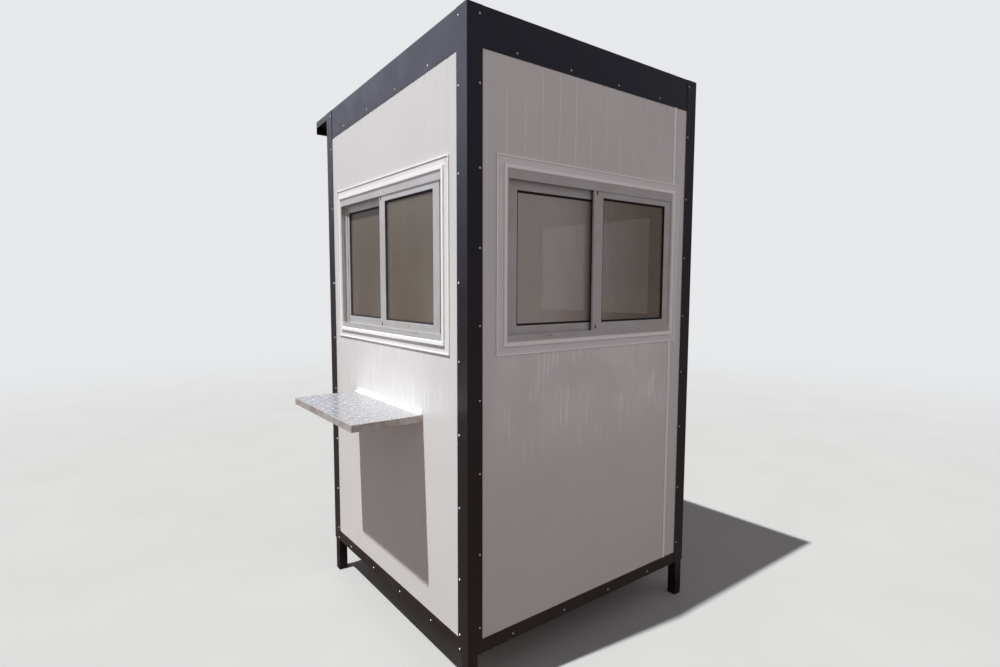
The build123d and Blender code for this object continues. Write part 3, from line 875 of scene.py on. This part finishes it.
def windowRivets(face):
    look = windowExtras
    inset = look["cornerRivetInset"]
    bm = bmesh.new()
    (u0, u1), (v0, v1), (back, _) = faceBox(face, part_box(face + "_window_trim"))
    for along in (u0 + inset, u1 - inset):
        for end, way in ((v0 + inset, 1), (v1 - inset, -1)):
            for step in range(look["cornerRivets"]):
                height = end + way * step * look["cornerRivetPitch"]
                place = facePlace(face, along, height, back + look["bandThickness"])
                rivetHead(bm, place, look["cornerRivetSize"])
    finishPiece(face + "TrimRivets", bm, rivetMetal)


def windowSealant(face):
    # white bead in the corner between the frame and the raised lip
    size = windowExtras["sealantSize"]
    bm = bmesh.new()
    (u0, u1), (v0, v1), (_, front) = faceBox(face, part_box(face + "_window_frame"))
    frameRing(bm, face, (u0, u1, v0, v1),
              [(-0.0006, front - 0.0004), (size, front - 0.0003),
               (size * 0.62, front + size * 0.24), (size * 0.24, front + size * 0.62),
               (-0.0006, front + size)])
    finishPiece(face + "WindowSealant", bm, sealant)


for windowFace in ("front", "right", "back"):
    windowGaskets(windowFace)
    windowPile(windowFace)
    windowRivets(windowFace)
    windowSealant(windowFace)


# Raised bars on the shelf

treadBars = {
    "pitch": 0.0275,
    "length": 0.0255,
    "width": 0.0062,
    "height": 0.0015,
    "margin": 0.008,
    "sunk": 0.0001,
    "stations": 7,             # points along a bar, and across it
    "across": 5,
}


def treadBar(bm, place):    # a low ridge, widest and highest in the middle
    look = treadBars
    stations, across = look["stations"], look["across"]
    rows = []
    for station in range(stations):
        way = 2 * station / (stations - 1) - 1
        swell = math.sqrt(max(0.0, 1 - way * way)) * 0.94 + 0.06
        row = []
        for step in range(across):
            side = 2 * step / (across - 1) - 1
            crown = (1 - side * side) ** 0.7 * swell
            row.append(bm.verts.new(place @ Vector((way * look["length"] / 2,
                                                    side * look["width"] / 2 * swell,
                                                    crown * look["height"] - look["sunk"]))))
        rows.append(row)
    for low, high in zip(rows, rows[1:]):
        for step in range(across - 1):
            bm.faces.new([low[step], high[step], high[step + 1], low[step + 1]])
    bm.faces.new([row[0] for row in rows] + [row[-1] for row in reversed(rows)])


def addTreadBars():
    pitch, margin = treadBars["pitch"], treadBars["margin"]
    bm = bmesh.new()
    low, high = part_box("counter_shelf")
    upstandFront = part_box("shelf_upstand")[0].y
    countX = int((high.x - low.x - 2 * margin) / pitch)
    countY = int((upstandFront - low.y - 2 * margin) / pitch)
    startX = (low.x + high.x - (countX - 1) * pitch) / 2
    startY = (low.y + upstandFront - (countY - 1) * pitch) / 2
    for column in range(countX):
        for line in range(countY):
            turn = math.radians(45 if (column + line) % 2 else -45)
            spot = Vector((startX + column * pitch, startY + line * pitch, high.z))
            treadBar(bm, Matrix.Translation(spot) @ Matrix.Rotation(turn, 4, "Z"))
    finishPiece("shelfTreadBars", bm, finishes["tread_plate"], 60)


addTreadBars()


# Fixings of the shelf

shelfFixings = {
    "screws": 4,
    "screwRadius": 0.0034,
    "screwDrop": 0.006,        # top of the upstand to the screws
    "upstandSheet": 0.002,
    "rivetOut": 0.055,         # wall to the rivet in each end of the shelf
}


def screwHead(bm, place, radius):    # pan head with a dimple for its recess
    turned(bm, place, [(radius, -bite), (radius, 0.0006), (radius * 0.86, 0.0017),
                       (radius * 0.5, 0.0022), (radius * 0.34, 0.0022), (radius * 0.2, 0.0010),
                       (0, 0.0009)])


def addShelfFixings():
    look = shelfFixings
    bm = bmesh.new()
    (u0, u1), (_, top), (wall, _) = faceBox("front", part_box("shelf_upstand"))
    for step in range(look["screws"]):
        along = u0 + (u1 - u0) * (step + 0.5) / look["screws"]
        place = facePlace("front", along, top - look["screwDrop"], wall + look["upstandSheet"])
        screwHead(bm, place, look["screwRadius"])
    (s0, s1), (t0, t1), (wall, _) = faceBox("front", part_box("counter_shelf"))
    for side, turn in ((s1, 90), (s0, -90)):
        place = facePlace("front", side, (t0 + t1) / 2, wall + look["rivetOut"])
        rivetHead(bm, place @ Matrix.Rotation(math.radians(turn), 4, "Y"))
    finishPiece("shelfFixings", bm, screwMetal)


addShelfFixings()


# Door: seal, hinge screws and lock cylinder

doorExtras = {
    "sealWidth": 0.0034,
    "sealDepth": (0.012, 0.004, 0.0025),      # back, shoulder and crown, behind the leaf's face
    "screwRadius": 0.0036,
    "hingeScrews": (0.36, 0.34),      # from the hinge's middle, as shares of its width and height
    "hingeLeaf": 0.0025,
    "plateWidth": 0.038,       # of the lever's plate
    "plateThickness": 0.004,
    "plateScrewInset": 0.014,
    "lockDrop": 0.055,         # lever down to the lock cylinder
    "lockRadius": 0.0105,
    "lockFace": 0.0022,        # proud of the plate
    "keyWay": (0.0022, 0.0088, 0.0006),
}


def addDoorSeal():
    gap = doorExtras["sealWidth"]
    bm = bmesh.new()
    (u0, u1), (v0, v1), (_, front) = faceBox("left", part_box("door_leaf_edging"))
    back, shoulder, crown = (front - depth for depth in doorExtras["sealDepth"])
    frameRing(bm, "left", (u0, u1, v0, v1), [(-gap, back), (-bite, back), (-bite, shoulder),
                                             (-gap * 0.5, crown), (-gap, shoulder)])
    finishPiece("doorSeal", bm, rubber)


def addHingeFixings():
    look = doorExtras
    outShare, upShare = look["hingeScrews"]
    bm = bmesh.new()
    for box in solidBoxes("door_hinges"):
        (u0, u1), (v0, v1), (back, front) = faceBox("left", box)
        centre, level, barrel = (u0 + u1) / 2, (v0 + v1) / 2, (front - back) / 2
        for side in (-1, 1):
            for step in (-1, 0, 1):
                place = facePlace("left", centre + side * (u1 - u0) * outShare,
                                  level + step * (v1 - v0) * upShare, back + look["hingeLeaf"])
                screwHead(bm, place, look["screwRadius"])
        for end, turn in ((v1, -90), (v0, 90)):      # domed ends of the pin
            place = facePlace("left", centre, end, (back + front) / 2)
            turned(bm, place @ Matrix.Rotation(math.radians(turn), 4, "X"),
                   [(barrel * 0.7, -0.0004), (barrel * 0.7, 0.0008), (barrel * 0.45, 0.0022),
                    (0, 0.0027)])
    finishPiece("hingeFixings", bm, screwMetal)


def addLock():
    look = doorExtras
    (edge, _), (v0, v1), _ = faceBox("left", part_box("door_handle"))
    leafFront = faceBox("left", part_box("door_leaf_panel"))[2][1]
    along = edge + look["plateWidth"] / 2
    plateFront = leafFront + look["plateThickness"]
    lockHeight = (v0 + v1) / 2 - look["lockDrop"]
    radius, proud = look["lockRadius"], look["lockFace"]
    metal = bmesh.new()
    turned(metal, facePlace("left", along, lockHeight, plateFront),
           [(radius, -bite), (radius, proud), (radius * 0.9, 0.0030), (radius * 0.72, 0.0032),
            (radius * 0.70, 0.0024), (0, 0.0024)], 28)
    for height in (v1 - look["plateScrewInset"], v0 + look["plateScrewInset"]):
        screwHead(metal, facePlace("left", along, height, plateFront), look["screwRadius"])
    finishPiece("lockCylinder", metal, finishes["handle_metal"])
    key = bmesh.new()
    width, height, depth = look["keyWay"]
    extruded(key, facePlace("left", along, lockHeight, plateFront + proud),
             roundedOutline(width, height, width * 0.45), depth)
    finishPiece("keyWay", key, rubber)


addDoorSeal()
addHingeFixings()
addLock()


# Roof screws with washers, on the crowns of the ribs

roofScrews = {
    "ribs": 5,
    "ribBase": 0.054,
    "ribDepth": 0.0015,        # crown below the roof line
    "rows": (-0.50, -0.14, 0.20, 0.50),
    "washerRadius": 0.0085,
    "hexRadius": 0.0052,
}


def addRoofScrews():
    look = roofScrews
    washer, hexHead = look["washerRadius"], look["hexRadius"]
    bm = bmesh.new()
    reach = halfPlan - 2 * sheetStep
    pitch = (2 * reach - look["ribBase"]) / (look["ribs"] - 1)
    tilt = Matrix.Rotation(-math.atan(roofFall), 4, "Y")
    for rib in range(1, look["ribs"] - 1):      # none on the ribs at the edges
        y = middle.y - reach + look["ribBase"] / 2 + rib * pitch
        for row in look["rows"]:
            x = middle.x + row
            place = Matrix.Translation(Vector((x, y, roofHeight(x) - look["ribDepth"]))) @ tilt
            turned(bm, place, [(washer, -0.0003), (washer, 0.0006), (washer * 0.8, 0.0012),
                               (hexHead, 0.0014)], 20)
            turned(bm, place, [(hexHead, 0.0013), (hexHead, 0.0044), (hexHead * 0.82, 0.0050),
                               (0, 0.0050)], 6)
    finishPiece("roofScrews", bm, screwMetal, 30)


addRoofScrews()


# Floor, light and camera

stage = {
    "floorColour": colour(0.385, 0.382, 0.375),
    "floorSecond": colour(0.40, 0.397, 0.39),
    "floorRings": (2.0, 6.0, 14.0, 40.0, 160.0),
    "floorSides": 64,
    "fadeFrom": 3.2,                              # the floor turns into the background
    "fadeTo": 11.0,
    "floorBounce": colour(0.225, 0.190, 0.175),   # what the floor throws back at the booth
    "bounceRightPaintedShadow": colour(0.052, 0.041, 0.041),   # and on its right: darker nearby as a painted shadow, brighter farther off
    "bounceFar": colour(0.198, 0.158, 0.146),
    "bounceSteps": ((0.2, 1.2), (1.9, 3.2)),      # where each turns into the next
    "floorMirrored": colour(0.060, 0.041, 0.035),   # how it shows in reflections
    "background": colour(0.80, 0.81, 0.825),
    "skyColour": colour(1.0, 0.945, 0.985),
    "skyLight": 0.552,
    "leftShare": 0.31,                      # share of the sky's light that comes from the left
    # sky in reflections: its colour, and how strong it is on the left and on the right
    "mirroredHigh": (colour(0.82, 0.85, 1.0), 1.0, 0.15),
    "mirroredLow": (colour(1.0, 0.96, 0.98), 0.15, 0.09),
    "sunColour": (0.985, 1.0, 1.0),
    "sunStrength": 5.45,
    "sunSoftness": 0.9,                     # degrees
    "sunFrom": (-0.049, -0.411, 0.92),      # high, in front and a little to the left
}


def floorMaterial():
    look = stage
    material, tree, shader = newMaterial("studioFloor")
    x, y = axes(tree)[:2]
    seen, mirrored = rayKinds(tree)
    mottled = mixColour(tree, spread(tree, noiseField(tree, 1.5, 4), 0.3, 0.7),
                        look["floorColour"], look["floorSecond"])
    near, far = look["bounceSteps"]
    # painted shadow on the floor by the booth's right, seen only by light bounced onto the booth
    bounceWithPaintedShadow = mixColour(tree, spread(tree, x, *near), look["floorBounce"], look["bounceRightPaintedShadow"])
    bounceWithPaintedShadow = mixColour(tree, spread(tree, x, *far), bounceWithPaintedShadow, look["bounceFar"])
    unseen = mixColour(tree, mirrored, bounceWithPaintedShadow, look["floorMirrored"])
    feedAll(tree, shader, {"Base Color": mixColour(tree, seen, unseen, mottled),
                           "Roughness": 0.85, "Specular IOR Level": 0.2})
    distance = maths(tree, "SQRT", maths(tree, "ADD", product(tree, x, x), product(tree, y, y)))
    fade = product(tree, seen, spread(tree, distance, look["fadeFrom"], look["fadeTo"]))
    glow = addNode(tree, "ShaderNodeEmission")
    feedAll(tree, glow, {"Color": look["background"]})
    feed(tree, tree.nodes["Material Output"].inputs["Surface"],
         mixShader(tree, fade, shader.outputs[0], glow.outputs[0]))
    return material


def addFloor():
    bm = bmesh.new()
    rings = [[bm.verts.new((x, y, 0)) for x, y in circle(radius, stage["floorSides"])]
             for radius in stage["floorRings"]]
    bm.faces.new(rings[0])
    for inner, outer in zip(rings, rings[1:]):
        joinLoops(bm, outer, inner)
    mesh = bpy.data.meshes.new("studioFloor")
    bm.to_mesh(mesh)
    bm.free()
    mesh.materials.append(floorMaterial())
    floor = bpy.data.objects.new("studioFloor", mesh)
    bpy.context.scene.collection.objects.link(floor)


def addSky():
    look = stage
    world = bpy.data.worlds.new("studio")
    bpy.context.scene.world = world
    world.use_nodes = True
    tree = world.node_tree
    ways = splitVector(tree, addNode(tree, "ShaderNodeTexCoord").outputs["Generated"])
    # more of the light comes from the right of the booth than from the sun's side
    share = spread(tree, ways[0], -0.2, 0.7, look["leftShare"], 1.0)
    light = tree.nodes["Background"]
    feedAll(tree, light, {"Color": look["skyColour"],
                          "Strength": product(tree, share, look["skyLight"])})
    # reflections see a cool sky that is brightest high up and on the left
    highColour, highLeft, highRight = look["mirroredHigh"]
    lowColour, lowLeft, lowRight = look["mirroredLow"]
    upwards = spread(tree, ways[2], 0.02, 0.38)
    across = spread(tree, ways[0], -0.3, 0.5)
    highStrength = spread(tree, across, 0.0, 1.0, highLeft, highRight, smooth=False)
    lowStrength = spread(tree, across, 0.0, 1.0, lowLeft, lowRight, smooth=False)
    mirror = addNode(tree, "ShaderNodeBackground")
    feedAll(tree, mirror, {
        "Color": mixColour(tree, upwards, lowColour, highColour),
        "Strength": maths(tree, "ADD", product(tree, upwards, highStrength),
                          product(tree, maths(tree, "SUBTRACT", 1.0, upwards), lowStrength)),
    })
    plain = addNode(tree, "ShaderNodeBackground")
    feedAll(tree, plain, {"Color": look["background"]})
    seen, mirrored = rayKinds(tree)
    unseen = mixShader(tree, mirrored, light.outputs[0], mirror.outputs[0])
    feed(tree, tree.nodes["World Output"].inputs["Surface"],
         mixShader(tree, seen, unseen, plain.outputs[0]))


def addSun():
    look = stage
    lamp = bpy.data.lights.new("sun", "SUN")
    lamp.energy = look["sunStrength"]
    lamp.angle = math.radians(look["sunSoftness"])
    lamp.color = look["sunColour"]
    sun = bpy.data.objects.new("sun", lamp)
    sun.rotation_mode = "QUATERNION"
    sun.rotation_quaternion = Vector(look["sunFrom"]).to_track_quat("Z", "Y")
    bpy.context.scene.collection.objects.link(sun)


cameraView = {
    "fromMiddle": (2.1327, -1.6273, 1.430),    # metres from the middle of the cabin, on the ground
    "turn": 52.875,                            # degrees, away from looking straight back
    "tip": 4.82,                               # downwards
    "roll": 0.18,
    "lens": 20.56,
    "sensor": 36.0,                            # mm, as the lens
    "farthest": 500,
}


def addCamera():
    look = cameraView
    camera = bpy.data.objects.new("camera", bpy.data.cameras.new("camera"))
    bpy.context.scene.collection.objects.link(camera)
    turn = Matrix.Rotation(math.radians(look["turn"]), 4, "Z")
    tip = Matrix.Rotation(math.radians(90 - look["tip"]), 4, "X")
    roll = Matrix.Rotation(math.radians(look["roll"]), 4, "Z")
    spot = Matrix.Translation(middle + Vector(look["fromMiddle"]))
    camera.matrix_world = spot @ turn @ tip @ roll
    camera.data.lens = look["lens"]
    camera.data.sensor_width = look["sensor"]
    camera.data.clip_end = look["farthest"]
    bpy.context.scene.camera = camera


addFloor()
addSky()
addSun()
addCamera()
bpy.context.scene.view_settings.view_transform = "Standard"
print("stage set")
